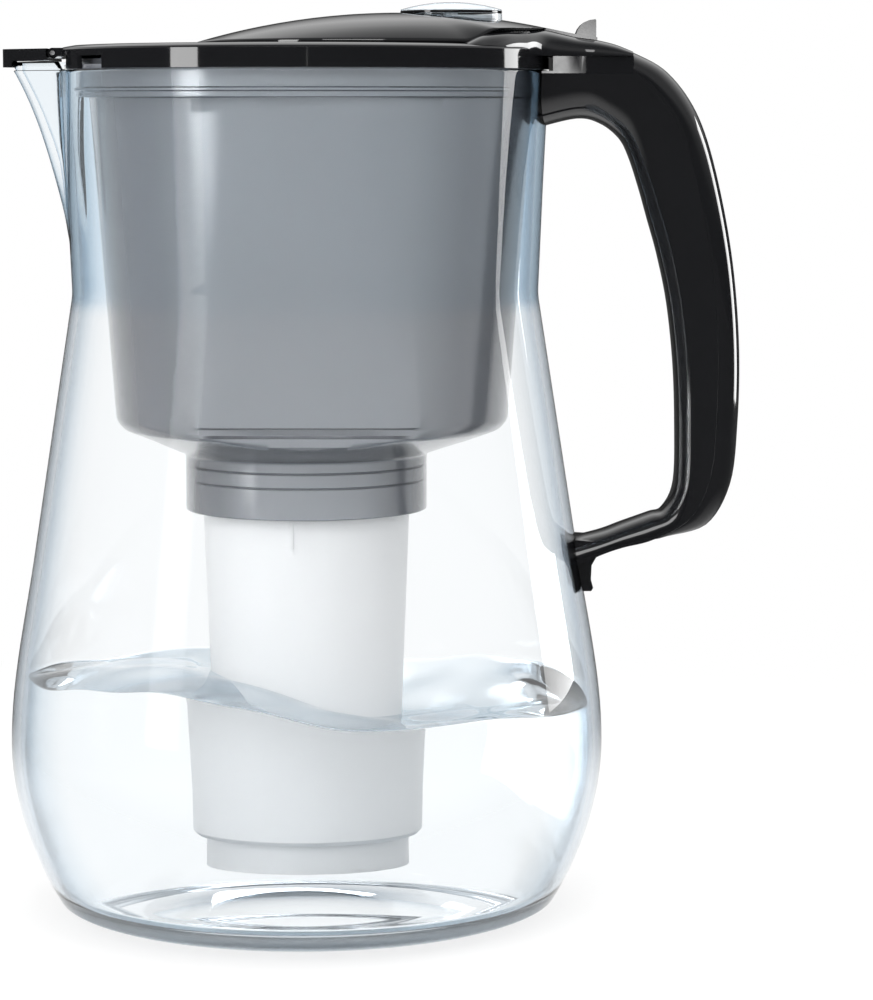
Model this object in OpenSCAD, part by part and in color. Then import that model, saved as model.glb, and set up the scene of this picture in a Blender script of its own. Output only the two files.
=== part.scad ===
// Water filter pitcher with a flip lid: clear jug, drop-in funnel, filter cartridge and black cover.
// Millimetres, +Z up, origin at the centre of the base; the spout points to -X, the handle to +X.

/* [Jug] */
// Radius of the flat foot
foot_r = 48.5; // [46:0.5:51]
// Radius where the round heel ends
heel_r = 76.3; // [75.5:0.1:77]
// Radius of the belly at its widest
belly_r = 90.2; // [88:0.1:92]
// Height of the widest point of the belly
belly_z = 52.5; // [50:0.5:55]
// Radius where the belly runs into the straight cone
cone_r = 82.6; // [81.6:0.1:83.6]
// Height where the straight cone starts
cone_z = 110; // [106:1:114]
// Radius of the crease under the collar
neck_r = 70.3; // [69.5:0.1:71]
// Height of the crease under the collar
neck_z = 189; // [184:1:194]
// Outer radius of the rim
rim_r = 73.4; // [72.8:0.1:74]
// Height of the rim
rim_z = 256; // [255:0.5:258]
// Wall of the jug
jug_wall = 2.6; // [2:0.1:3]
// Thickness of the jug's base
base_t = 4.5; // [3.5:0.5:6]

/* [Spout] */
// Reach of the spout's lip from the jug's axis
spout_reach = 87.6; // [86.6:0.1:88]
// Height where the spout leaves the wall
spout_z = 204; // [200:1:208]
// Half the spout's width where it meets the rim
spout_half = 30; // [26:1:32]
// Radius of the spout's tip in plan
spout_tip_r = 7; // [6:0.5:8]

/* [Handle] */
// Half the width of the handle's top block
block_half = 20; // [18:0.5:21]
// Half the width of the grip
grip_half = 13; // [11.5:0.5:14]
// Half the width of the lower arm
arm_half = 12.5; // [11:0.5:13]
// Radius of the screw that holds the top block
screw_r = 1.9; // [1.6:0.1:2.2]

/* [Funnel] */
// Outer radius of the funnel's collar
collar_r = 68.5; // [68:0.1:69]
// Height of the collar below the rim
collar_h = 8; // [7:0.5:9]
// Outer radius of the funnel at its floor
floor_r = 59.3; // [57:0.1:61]
// Height of the funnel's floor at its outer edge
floor_z = 150; // [147:0.5:153]
// Half the depth between the funnel's flattened front and back at the floor
flat_half = 51; // [48:0.5:54]
// Wall of the funnel
funnel_wall = 1.9; // [1.6:0.1:2.2]
// Outer radius of the cartridge socket
socket_r = 36.6; // [36.2:0.1:37.5]
// Height of the socket's lower edge
socket_z = 123.7; // [122:0.1:125]

/* [Cartridge] */
// Radius of the cartridge's flange
flange_r = 34.6; // [34.3:0.1:34.8]
// Height of the cartridge's flange
flange_h = 8.2; // [7:0.1:9]
// Radius of the cup under the flange
cup_r = 31.5; // [30.5:0.1:31.6]
// Radius of the cup at its foot
cup_foot_r = 27.8; // [26.5:0.1:28.5]
// Height of the cup from its foot to the top of the flange
cup_h = 115; // [110:1:118]
// Height of the cartridge's cap
cap_h = 28; // [24:1:31]
// Wall of the cup and of the cap
cup_wall = 1.4; // [1.2:0.1:1.8]

/* [Lid] */
// Height of the lid's flat border
border_z = 263.4; // [263:0.1:263.8]
// Radius of the round flip lid
dome_r = 52.75; // [51.5:0.25:53.5]
// Place of the flip lid's centre behind the jug's axis
dome_x = 20.25; // [19.5:0.25:20.75]
// Radius of the flip lid's crown
crown_r = 214; // [200:1:230]
// Tilt of the flip lid towards the spout
dome_tilt = 2.28; // [2:0.02:2.5]
// Radius of the flip lid's hinge pin
hinge_r = 1.1; // [1:0.05:1.3]
// Radius of the spout flap's pin
flap_pin_r = 0.7; // [0.6:0.05:0.8]
// Reach of the spout flap from the jug's axis
flap_reach = 90.7; // [90.5:0.1:92]
// Half the width of the spout flap at its hinge
flap_half = 20; // [18:0.5:21]
// Radius of the change indicator
dial_r = 15.25; // [14.5:0.25:16]

/* [Clearances] */
// Play between parts that seat in each other
seat_gap = 0.1; // [0.05:0.05:0.2]
// Radial play of a pin in the part that turns on it
run_gap = 0.06; // [0.03:0.01:0.09]
// Gap round a part that swings clear of its neighbour
swing_gap = 0.4; // [0.35:0.05:0.5]

/* [Hidden] */
$fn = 96;

black_plastic = "#1d1e21";
clear_plastic = "#c9dde8";
smoke_plastic = "#8f959c";
white_plastic = "#eceeef";

// a little more than nothing, for cuts that run past a face
past = 1;

// ---- jug: outline from foot to rim --------------------------------------------------------------
heel_z = 5.2;
heel_bend = 4.2;
heel_steps = 6;
belly_steps = 8;
fall_steps = 8;
cone_slope = (neck_r - cone_r) / (neck_z - cone_z);
flare_z = 222;
flare_r = neck_r + (rim_r - neck_r) * 0.45;

// lower belly: a round heel from the flat foot, then a parabola up to the widest point
function flank(z) = let (t = (belly_z - z) / (belly_z - heel_z)) belly_r - (belly_r - heel_r) * t * t;
function belly(inset, low) =
    let (top = heel_z + low,
         slope = 2 * (belly_r - heel_r) * (belly_z - top) / pow(belly_z - heel_z, 2),
         start = [foot_r - inset, low], end = [flank(top) - inset, top],
         bend = end - heel_bend * [slope, 1] / norm([slope, 1]))
    concat(
        [for (i = [0:heel_steps - 1]) let (t = i / heel_steps)
            (1 - t) * (1 - t) * start + 2 * t * (1 - t) * bend + t * t * end],
        [for (i = [0:belly_steps]) let (z = top + (belly_z - top) * i / belly_steps) [flank(z) - inset, z]]);

// upper belly: one cubic from the widest point to the start of the cone
function cubic(t, p0, m0, p1, m1) =
    (2 * pow(t, 3) - 3 * t * t + 1) * p0 + (pow(t, 3) - 2 * t * t + t) * m0
    + (3 * t * t - 2 * pow(t, 3)) * p1 + (pow(t, 3) - t * t) * m1;
function fall(inset) = [for (i = [1:fall_steps])
    let (t = i / fall_steps, span = cone_z - belly_z)
    [cubic(t, belly_r, 0, cone_r, cone_slope * span) - inset, belly_z + t * span]];
function neck(inset, top) = [
    [neck_r - inset, neck_z], [flare_r - inset, flare_z], [rim_r - inset, rim_z],
    if (top > rim_z) [rim_r - inset, top]];
function wall_line(inset, low, top) =
    concat(belly(inset, low), fall(inset), neck(inset, top));
function wall_radius(z) = z > neck_z
    ? neck_r + (rim_r - neck_r) * (z - neck_z) / (rim_z - neck_z)
    : neck_r + cone_slope * (z - neck_z);

module jug_solid(inset, low, top) {
    rotate_extrude($fn = 128)
        polygon(concat([[0, low]], wall_line(inset, low, top), [[0, top]]));
}

// ---- lofts: rings of equal length joined into one closed solid ----------------------------------
function flat_list(rings) = [for (ring = rings) for (p = ring) p];
function loft_faces(count, size) = concat(
    [[for (j = [size - 1:-1:0]) j]],
    [for (i = [0:count - 2]) for (j = [0:size - 1])
        let (a = i * size + j, b = i * size + (j + 1) % size)
        [a, b, b + size, a + size]],
    [[for (j = [0:size - 1]) (count - 1) * size + j]]);
module loft(rings) {
    polyhedron(points = flat_list(rings), faces = loft_faces(len(rings), len(rings[0])), convexity = 6);
}

// a smooth curve through points, with a few steps in each span
function spline_at(p, i, t) =
    let (last = len(p) - 1, a = p[max(i - 1, 0)], b = p[i], c = p[min(i + 1, last)], d = p[min(i + 2, last)])
    0.5 * (2 * b + (c - a) * t + (2 * a - 5 * b + 4 * c - d) * t * t + (3 * b - a - 3 * c + d) * pow(t, 3));
function spline(p, steps) = concat(
    [for (i = [0:len(p) - 2]) for (k = [0:steps - 1]) spline_at(p, i, k / steps)],
    [p[len(p) - 1]]);
function power(v, n) = sign(v) * pow(abs(v), 2 / n);

// ---- spout --------------------------------------------------------------------------------------
spout_levels = 8;
spout_arc = 6;
spout_root = wall_radius(spout_z) - 0.6;
function spout_share(z) = (z - spout_z) / (rim_z - spout_z);
function spout_ridge(z) = let (s = spout_share(z))
    spout_root + (spout_reach - spout_root) * (0.76 * s + 0.24 * pow(s, 4));
function spout_ring(z, inset) =
    let (s = max(spout_share(z), 0.02), ridge = spout_ridge(z) - inset, back = 48,
         tip = spout_tip_r + 10 * pow(1 - min(s, 1), 2) - inset / 2,
         half = spout_half * pow(s, 0.6) + 4 - inset,
         lean = atan2(half - tip * 0.8, ridge - 60))
    concat([[-back, -half, z]],
        [for (k = [0:spout_arc]) let (a = (90 - lean) * (2 * k / spout_arc - 1))
            [-(ridge - tip + tip * cos(a)), tip * sin(a), z]],
        [[-back, half, z]]);
module spout_solid(inset, low, top) {
    loft([for (i = [0:spout_levels]) spout_ring(low + (top - low) * i / spout_levels, inset)]);
}

// lugs that the handle is fixed to
upper_lug = [[64, -8, 246], [79, 8, 254]];
lower_lug = [[76, -7, 102], [84.6, 7, 111]];
module box_between(corners, grow = 0) {
    translate(corners[0] - [grow, grow, grow])
        cube(corners[1] - corners[0] + 2 * [grow, grow, grow]);
}
screw_z = 249.6;
screw_tip = 77;
screw_seat = 96;
module along_x(x, z) {
    translate([x, 0, z]) rotate([0, 90, 0]) children();
}

module jug_body() {
    color(clear_plastic) difference() {
        union() {
            jug_solid(0, 0, rim_z);
            spout_solid(0, spout_z, rim_z);
            box_between(upper_lug);
            box_between(lower_lug);
        }
        jug_solid(jug_wall, base_t, rim_z + past);
        spout_solid(jug_wall, spout_z + 6, rim_z + past);
        along_x(screw_tip - past, screw_z) cylinder(r = screw_r, h = 10, $fn = 32);
    }
}

// ---- handle -------------------------------------------------------------------------------------
seat_z = 260;
block_x = 69;
skirt_low = rim_z + 0.3;
// front face of the block beside the lid's skirt
block_front = rim_r + 0.6;
seam_x = 98;
// height of the seam between the two shells, where the back cover starts
seam_end_z = 256;
ring_steps = 12;
span_steps = 4;

// lines seen from the side: inside of the grip, the seam between the two shells, and the back
inner_line = [[block_x, 238.6], [81.8, 241.6], [89, 240], [94.6, 235.6], [97.6, 229.8], [100.6, 220.6],
    [103.2, 211.4], [106.3, 200.4], [109.3, 186], [111.3, 168], [112, 150], [111.7, 131.5], [108.2, 123.6],
    [104.4, 122.2], [96.1, 119.2], [89.4, 116.7], [80, 114.4]];
seam_line = [[block_x, seat_z], [81, seat_z], [88, 259.6], [seam_x, seam_end_z], [103.8, 250],
    [110.6, 241.5], [115.2, 230.3], [119.3, 213.5], [122.5, 193.5], [124, 171.5], [123.6, 150.3], [122, 134.5],
    [116.5, 122.3], [105.4, 115.5], [95.8, 112.9], [89.2, 110.6], [80, 106.4]];
frame_half = [block_half, block_half, 19.6, 17, 15, 13.6,
    grip_half, grip_half, grip_half, grip_half, grip_half, grip_half,
    arm_half, arm_half, arm_half, arm_half, arm_half];
back_line = [[seam_x, 261.6], [107.7, 256.4], [115.6, 247.2], [121.1, 235], [126.1, 215.2],
    [129.5, 194.6], [131.2, 172], [130.9, 150], [128.8, 131.4], [121.6, 119], [108.8, 115.9]];
cover_first = 3;
cover_last = 13;
inner_curve = spline(inner_line, span_steps);
seam_curve = spline(seam_line, span_steps);
half_curve = spline(frame_half, span_steps);
back_curve = spline(back_line, span_steps);
function stretch(curve) = [for (i = [cover_first * span_steps:cover_last * span_steps]) curve[i]];

// a shell's ring: straight across at the seam, rounded on the far side
function shell_ring(root, crest, half, n) = [for (k = [0:ring_steps])
    let (a = -90 + 180 * k / ring_steps, p = root + (crest - root) * power(cos(a), n))
    [p[0], half * power(sin(a), n), p[1]]];
module shell_loft(root, crest, half, n) {
    loft([for (i = [0:len(root) - 1]) shell_ring(root[i], crest[i], half[i], n)]);
}

lever_pocket = [[74.5, -13.5, 254.4], [95.6, 13.5, 262]];
foot_low = 99.5;
module handle_foot() {
    rotate([90, 0, 0]) translate([0, 0, -arm_half + 1.5]) linear_extrude(2 * arm_half - 3)
        polygon([[80, 115], [89, 114.5], [88, 110], [86.5, 107.4], [86.3, 103], [87, foot_low + 1],
            [86.4, foot_low], [80, foot_low]]);
}

// flat top of the block, which the rear cap sits on
module block_top() {
    edge = [for (i = [0:cover_first * span_steps]) [seam_curve[i][0], half_curve[i]]];
    translate([0, 0, seam_end_z]) linear_extrude(seat_z - seam_end_z)
        polygon(concat(edge, [for (i = [len(edge) - 1:-1:0]) [edge[i][0], -edge[i][1]]]));
}

module handle_frame() {
    color(black_plastic) difference() {
        union() {
            shell_loft(seam_curve, inner_curve, -half_curve, 3.4);
            block_top();
            handle_foot();
        }
        jug_solid(-seat_gap, -past, rim_z + 6);
        translate([0, -2 * block_half, rim_z - 0.3]) cube([block_front, 4 * block_half, 10]);
        box_between(upper_lug, seat_gap);
        box_between(lower_lug, seat_gap);
        box_between(lever_pocket);
        along_x(screw_tip, screw_z) cylinder(r = screw_r + seat_gap, h = 30, $fn = 32);
        along_x(screw_seat, screw_z) cylinder(r = 2 * screw_r + seat_gap, h = 30, $fn = 32);
    }
}

module handle_back_cover() {
    color(black_plastic) shell_loft(stretch(seam_curve), back_curve, stretch(half_curve), 2.7);
}

module handle_screw() {
    color("silver") difference() {
        union() {
            along_x(screw_tip, screw_z) cylinder(r = screw_r - 0.02, h = screw_seat - screw_tip, $fn = 32);
            along_x(screw_seat, screw_z) cylinder(r = 2 * screw_r, h = 2.6, $fn = 32);
        }
        along_x(screw_seat + 1.2, screw_z) cylinder(r = screw_r, h = 3, $fn = 6);
    }
}

// ---- funnel -------------------------------------------------------------------------------------
funnel_x = 1.9;
ledge_r = rim_r - 1.5;
ledge_t = 1.5;
ledge_z = rim_z + seat_gap;
collar_low = rim_z - collar_h;
collar_top = 259.3;
funnel_top_r = collar_r - funnel_x - 0.1;
cone_foot_z = 139.4;
shelf_z = socket_z + 4.2;
shelf_r = cup_r + 0.5;
socket_in_r = flange_r + 0.5;
flat_top = 66;

// basket seen in section, drawn inset by its wall for the inside
function basket(inset, top) = [[0, cone_foot_z + inset], [socket_r - 4, cone_foot_z + inset],
    [floor_r - 2.2 - inset, floor_z - 1.4 + inset], [floor_r - 0.6 - inset, floor_z - 0.2 + inset],
    [floor_r - inset, floor_z + 1.8 + inset], [funnel_top_r - inset, collar_low],
    [funnel_top_r - inset, top], [0, top]];
module basket_solid(inset, top) {
    flat_lean = atan((flat_top - flat_half) / (collar_low - floor_z));
    difference() {
        translate([funnel_x, 0, 0]) rotate_extrude($fn = 128) polygon(basket(inset, top));
        for (side = [-1, 1])
            translate([0, side * (flat_half - inset), floor_z]) rotate([-side * flat_lean, 0, 0])
                translate([-100, side > 0 ? 0 : -40, -30]) cube([200, 40, 135]);
    }
}
module funnel() {
    color(smoke_plastic) difference() {
        union() {
            basket_solid(0, collar_low);
            translate([0, 0, collar_low]) cylinder(r = collar_r, h = collar_top - collar_low);
            translate([0, 0, ledge_z]) cylinder(r = ledge_r, h = ledge_t);
            translate([0, 0, socket_z]) cylinder(r = socket_r, h = cone_foot_z + 2 - socket_z);
            translate([0, 0, collar_low + 2]) rotate_extrude()
                polygon([[collar_r - past, -0.5], [collar_r + 0.7, 0], [collar_r + 0.7, 0.6],
                    [collar_r - past, 1.1]]);
        }
        basket_solid(funnel_wall, collar_low + 2);
        translate([0, 0, collar_low + 1.9]) cylinder(r = collar_r - funnel_wall, h = 20);
        translate([0, 0, shelf_z]) cylinder(r = socket_in_r, h = 30);
        translate([0, 0, socket_z - past]) cylinder(r = shelf_r, h = 30);
    }
}

// ---- cartridge ----------------------------------------------------------------------------------
seal_t = 0.8;
cup_seat = shelf_z + 0.05 + seal_t;
flange_top = cup_seat + flange_h;
cup_low = flange_top - cup_h;
outlet_r = 24.5;
outlet_h = 7.5;
cup_foot = cup_low + outlet_h;
cup_floor_t = 1.6;

function cup_line(inset) = [
    [0, cup_foot + inset], [cup_foot_r - 1 - inset, cup_foot + inset],
    [cup_foot_r - inset, cup_foot + 1 + inset],
    [cup_r - inset, cup_seat]];
module cartridge_cup() {
    color(white_plastic) difference() {
        union() {
            rotate_extrude() polygon(concat(cup_line(0),
                [[flange_r - 0.6, cup_seat], [flange_r, cup_seat + 0.6],
                [flange_r, flange_top - 1], [flange_r - 1, flange_top], [0, flange_top]]));
            translate([0, 0, cup_low]) cylinder(r = outlet_r, h = outlet_h + past);
            translate([-3.8, -cup_r - 0.2, socket_z - 9]) cube([1, 2, shelf_z - socket_z + 8.9]);
        }
        rotate_extrude() polygon(concat(cup_line(cup_wall), [[cup_r - cup_wall, flange_top + past],
            [0, flange_top + past]]));
        translate([0, 0, cup_low - past]) cylinder(r = outlet_r - cup_wall, h = outlet_h + past + 0.4);
        for (k = [0:7]) rotate([0, 0, 45 * k]) translate([12, 0, cup_foot])
            cylinder(r = 3, h = 6, center = true, $fn = 32);
    }
}

// outlet grille at the foot: a ring with radial slots
module cartridge_base() {
    base_r = outlet_r - cup_wall - seat_gap / 2;
    color(white_plastic) translate([0, 0, cup_low + 1]) difference() {
        cylinder(r = base_r, h = 2);
        for (k = [0:11]) rotate([0, 0, 30 * k]) translate([8, -1.2, -past]) cube([11, 2.4, 2 + 2 * past]);
    }
}

media_top = cup_seat - 4;
felt_t = 1.8;
function cup_in_r(z) = cup_foot_r - cup_wall - 0.1
    + (cup_r - cup_foot_r) * (z - cup_foot - 1) / (cup_seat - cup_foot - 1);
media_low = cup_foot + cup_wall + felt_t + 0.6;
module cartridge_media() {
    color("#6e6a62") translate([0, 0, media_low])
        cylinder(r1 = cup_in_r(media_low - 2), r2 = cup_in_r(media_top - 2), h = media_top - media_low);
}
module cartridge_felts() {
    color("#d9d9d4") {
        translate([0, 0, cup_foot + cup_wall + 0.6 - 0.05])
            cylinder(r = cup_in_r(cup_foot) - 0.4, h = felt_t);
        translate([0, 0, media_top + 0.05]) cylinder(r = cup_in_r(media_top - 2), h = felt_t);
    }
}
module cartridge_seal() {
    color("#7d8288") translate([0, 0, shelf_z + 0.05]) difference() {
        cylinder(r = flange_r - 0.3, h = seal_t - 0.02);
        translate([0, 0, -past]) cylinder(r = cup_r + 0.15, h = seal_t + 2 * past);
    }
}

// cap: a cone with two flattened faces, each with a grid of windows
cap_foot_r = 27;
cap_top_r = 17.3;
cap_plug = 5;
window_cols = 3;
window_rows = [4.2, 6.4, 4.2];
window_w = 7.2;
window_pitch = 9.4;
window_z0 = 5.4;
window_gap = 1.6;
function window_low(i) = i == 0 ? window_z0 : window_low(i - 1) + window_rows[i - 1] + window_gap;
module cap_solid(inset) {
    intersection() {
        cylinder(r1 = cap_foot_r - inset, r2 = cap_top_r - inset, h = cap_h - inset);
        rotate([90, 0, 90]) linear_extrude(4 * cap_foot_r, center = true)
            polygon([[-cap_foot_r + inset, -past], [cap_foot_r - inset, -past], [24.5 - inset, 0],
                [9.5 - inset, cap_h], [-9.5 + inset, cap_h], [-24.5 + inset, 0]]);
    }
}
module cartridge_cap() {
    color(white_plastic) translate([0, 0, flange_top]) difference() {
        union() {
            cap_solid(0);
            translate([0, 0, 0.02]) cylinder(r = flange_r - 1.4, h = 1.6);
            translate([0, 0, -cap_plug]) cylinder(r = cup_r - cup_wall - 0.1, h = cap_plug + past);
        }
        translate([0, 0, -cap_plug - past]) cylinder(r = cap_foot_r - cup_wall, h = cap_plug + 2 * past);
        translate([0, 0, 0]) cap_solid(cup_wall);
        for (col = [-1:window_cols - 2]) for (row = [0:2])
            translate([col * window_pitch - window_w / 2, -40, window_low(row)])
                cube([window_w, 80, window_rows[row]]);
    }
}
module cartridge_mesh() {
    color("#8a8d90") translate([0, 0, flange_top]) difference() {
        cap_solid(cup_wall + 0.05);
        translate([0, 0, -0.2]) cap_solid(cup_wall + 0.7);
    }
}

// ---- lid frame ----------------------------------------------------------------------------------
skirt_in_r = ledge_r + 0.2;
border_t = 2.4;
band_z = 262.6;
band_front = 260;
front_cut = 39.3;
post_y = 29;
post_half = 5;
dome_z = 266.4;
cone_drop = 5.6;
plug_low = 8;
crown_z = -sqrt(crown_r * crown_r - dome_r * dome_r);
dome_wall = 2.2;

// edge of the lid's border, seen in section
function border_edge(grow) = [[rim_r + grow, band_z - 0.7], [rim_r - 0.35 + grow, band_z - 0.2 + grow],
    [rim_r - 1.2 + grow, band_z + 0.15 + grow], [rim_r - 4, border_z - 0.15 + grow],
    [rim_r - 7, border_z + grow], [0, border_z + grow]];
module at_dome() {
    translate([dome_x, 0, dome_z]) rotate([0, -dome_tilt, 0]) children();
}
// conical plug that the flip lid closes the border with, grown for the hole round it
module dome_envelope(grow, low, high) {
    rotate_extrude($fn = 128) polygon([[0, low], [dome_r - cone_drop + grow, low],
        [dome_r - cone_drop + grow, -cone_drop], [dome_r + grow, 0], [dome_r + grow, high], [0, high]]);
}

flap_x = -rim_r - 0.6;
flap_z = 261;
barrel_r = 1.5;
ear_in = 14.2;
ear_t = 3.2;
flap_pin_half = ear_in + ear_t;
module along_y(x, z, half) {
    translate([x, 0, z]) rotate([90, 0, 0]) translate([0, 0, -half]) children();
}

module lid_frame() {
    color(black_plastic) difference() {
        union() {
            rotate_extrude($fn = 128) polygon(concat(
                [[0, border_z - border_t], [skirt_in_r, border_z - border_t],
                    [skirt_in_r, skirt_low], [rim_r, skirt_low]],
                border_edge(0)));
            for (side = [-1, 1]) translate([0, side * (ear_in + ear_t / 2), 0]) {
                along_y(flap_x, flap_z, ear_t / 2) cylinder(r = barrel_r, h = ear_t, $fn = 32);
                translate([flap_x, -ear_t / 2, flap_z - barrel_r]) cube([5, ear_t, 2 * barrel_r]);
            }
        }
        at_dome() dome_envelope(swing_gap, -20, 20);
        // the skirt is notched in front of the handle's block
        translate([0, -block_half - 0.6, skirt_low - past])
            cube([2 * rim_r, 2 * block_half + 1.2, seat_z + 0.9 - skirt_low + past]);
        // and cut away over the spout, but for a post on either side
        translate([-2 * rim_r, 0, skirt_low - past]) difference() {
            translate([0, -rim_r * sin(front_cut), 0])
                cube([2 * rim_r - rim_r * cos(front_cut), 2 * rim_r * sin(front_cut),
                    band_front - skirt_low + past]);
            for (side = [-1, 1]) translate([-past, side * post_y - post_half, -past])
                cube([2 * rim_r, 2 * post_half, 10]);
        }
        along_y(flap_x, flap_z, ear_in) cylinder(r = barrel_r + swing_gap, h = 2 * ear_in, $fn = 32);
        translate([flap_x - 5, -ear_in, flap_z - 5]) cube([5, 2 * ear_in, 10]);
        along_y(flap_x, flap_z, flap_pin_half + past)
            cylinder(r = flap_pin_r, h = 2 * (flap_pin_half + past), $fn = 32);
    }
}

// ---- rear cap over the handle's top block -------------------------------------------------------
hinge_x = 80.5;
hinge_z = 261.8;
knuckle_r = 2.4;
lever_half = 7.5;
slot_half = lever_half + swing_gap;
slot_end = 93;
cap_t = 1.8;
hump_end = seam_x - 0.15;
hump_start = 46;
hump_top = [[hump_start, 263.2], [50, 265.8], [54, 267.6], [60, 268.3], [66, 268.3], [72, 267.9],
    [81, 265.9], [87.3, 265], [93, 263.6], [hump_end, 261.65]];
hump_half = [57, 53, 48.5, 42, 32, 22.5, 20.4, 20.1, 19.4, 17.4];
hump_low = seat_z + seat_gap;
function hump_rings(inset) =
    let (top = spline(hump_top, span_steps), half = spline(hump_half, span_steps),
         low = inset > 0 ? hump_low - 3 : hump_low, shrink = inset / (hump_end - hump_start))
    [for (i = [0:len(top) - 1]) [for (k = [0:ring_steps]) let (a = -90 + 180 * k / ring_steps)
        [top[i][0] - shrink * (top[i][0] - hump_start),
            (half[i] - inset) * power(sin(a), 3.4),
            low + (top[i][1] - low - inset) * power(cos(a), 3.4)]]];

module rear_cap() {
    ear_in_y = slot_half + 0.3;
    color(black_plastic) difference() {
        union() {
            difference() {
                loft(hump_rings(0));
                loft(hump_rings(cap_t));
            }
            intersection() {
                loft(hump_rings(0));
                for (side = [-1, 1]) translate([hinge_x - 3, side * (ear_in_y + 1.5) - 1.5, hinge_z - 1.7])
                    cube([6, 3, 10]);
            }
        }
        at_dome() dome_envelope(swing_gap, -20, 20);
        // room for the edge of the lid where it comes down to the border
        intersection() {
            at_dome() translate([0, 0, -20]) cylinder(r = dome_r + swing_gap, h = 40, $fn = 128);
            translate([0, -2 * dome_r, rim_z]) cube([60, 4 * dome_r, 20]);
        }
        rotate_extrude($fn = 128) polygon(concat([[0, rim_z], [rim_r + 0.05, rim_z]], border_edge(0.05)));
        translate([50, -slot_half, 250]) cube([slot_end - 50, 2 * slot_half, 30]);
        along_y(hinge_x, hinge_z, 20) cylinder(r = hinge_r, h = 40, $fn = 32);
    }
}

module hinge_pin() {
    pin_half = slot_half + 3.3;
    color("silver") along_y(hinge_x, hinge_z, pin_half)
        cylinder(r = hinge_r - 0.01, h = 2 * pin_half, $fn = 32);
}
module flap_pin() {
    color("silver") along_y(flap_x, flap_z, flap_pin_half)
        cylinder(r = flap_pin_r - 0.01, h = 2 * flap_pin_half, $fn = 32);
}

// ---- flip lid -----------------------------------------------------------------------------------
dial_x = 44;
dial_low = 264.5;
dial_rim = 273.4;

// rings of the lid: up its conical seat, over its edge and in along the crown
dome_turns = 48;
crown_steps = [0, 1.5, 3.5, 6, 9, 12.5, 16.5, 21.5, 27.5, 34.5, 42.5, 49];
plug_r = dome_r - cone_drop;
edge_top = 1;
shoulder_r = 30;
function ease(t) = let (c = min(1, max(0, t))) c * c * (3 - 2 * c);
// height of the lid's edge, which lies on the border and rises to the rear cap
function edge_at(a) =
    let (x = dome_r * cos(a), plane = dome_z + x * sin(dome_tilt), rise = ease((dome_x + x - 48) / 11))
    (1 - rise) * (border_z + 0.25 - plane) - 0.15 * rise;
function crown_at(r, a) = crown_z + sqrt(crown_r * crown_r - r * r)
    + min(0, edge_at(a) + edge_top) * pow(max(0, r - shoulder_r) / (dome_r - 0.3 - shoulder_r), 3.2);
function turned(r, z, a) = [r * cos(a), r * sin(a), z];
function dome_ring(k) = [for (j = [0:dome_turns - 1])
    let (a = -360 * j / dome_turns, edge = edge_at(a))
    k == 0 ? turned(plug_r, -plug_low, a)
    : k == 1 ? turned(plug_r, -cone_drop, a)
    : k == 2 ? turned(dome_r + edge, edge, a)
    : k == 3 ? turned(dome_r, edge, a)
    : k == 4 ? turned(dome_r, edge + 0.6 * (crown_at(dome_r - 0.3, a) - edge), a)
    : turned(dome_r - 0.3 - crown_steps[k - 5], crown_at(dome_r - 0.3 - crown_steps[k - 5], a), a)];
function cavity_ring(k, r) = [for (j = [0:dome_turns - 1])
    let (a = -360 * j / dome_turns)
    k == 0 ? turned(r, -plug_low - past, a) : turned(r, crown_at(r, a) - dome_wall, a)];

module flip_dome() {
    cavity = plug_r - dome_wall;
    color(black_plastic) difference() {
        at_dome() difference() {
            loft([for (k = [0:len(crown_steps) + 4]) dome_ring(k)]);
            loft([for (k = [0:5]) cavity_ring(k, k < 2 ? cavity : cavity * (1 - 0.19 * (k - 1)))]);
        }
        translate([dial_x, 0, dial_low]) cylinder(r = dial_r + 0.05, h = 30);
    }
}
module flip_liner() {
    liner_r = (plug_r - dome_wall) * cos(180 / dome_turns) - seat_gap / 2;
    color(black_plastic) at_dome() translate([0, 0, -plug_low + 0.4]) difference() {
        cylinder(r = liner_r, h = 3);
        translate([0, 0, 1.4]) cylinder(r = liner_r - 1.6, h = 3);
    }
}

tongue_t = 2.4;
tongue_line = [[66, 269.5], [73, 268.4], [81.2, 266.7], [87.6, 265.8]];
fin_x = 81.2;
fin_end = 87.3;
fin_tip = 271.2;
fin_half = 6.5;
module thumb_lever() {
    under = [for (i = [len(tongue_line) - 1:-1:0]) tongue_line[i] - [0, tongue_t]];
    color(black_plastic) difference() {
        union() {
            along_y(0, 0, lever_half) linear_extrude(2 * lever_half)
                polygon(concat(tongue_line, under));
            along_y(hinge_x, hinge_z, lever_half) cylinder(r = knuckle_r, h = 2 * lever_half, $fn = 48);
            translate([hinge_x - 1.6, -lever_half, hinge_z]) cube([3.2, 2 * lever_half, 4.2]);
            along_y(0, 0, fin_half) linear_extrude(2 * fin_half) polygon(concat(
                [[fin_end, 264.5], [fin_end, fin_tip - 0.3], [fin_end - 0.4, fin_tip]],
                [for (k = [0:6]) let (a = 90 + 90 * k / 6)
                    [fin_end - 0.6 + 5.5 * cos(a), 265.6 + (fin_tip - 265.7) * sin(a)]],
                [[fin_x, 264.5]]));
        }
        at_dome() dome_envelope(0.01, -20, 20);
        along_y(hinge_x, hinge_z, 20) cylinder(r = hinge_r + run_gap, h = 40, $fn = 32);
    }
}

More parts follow.
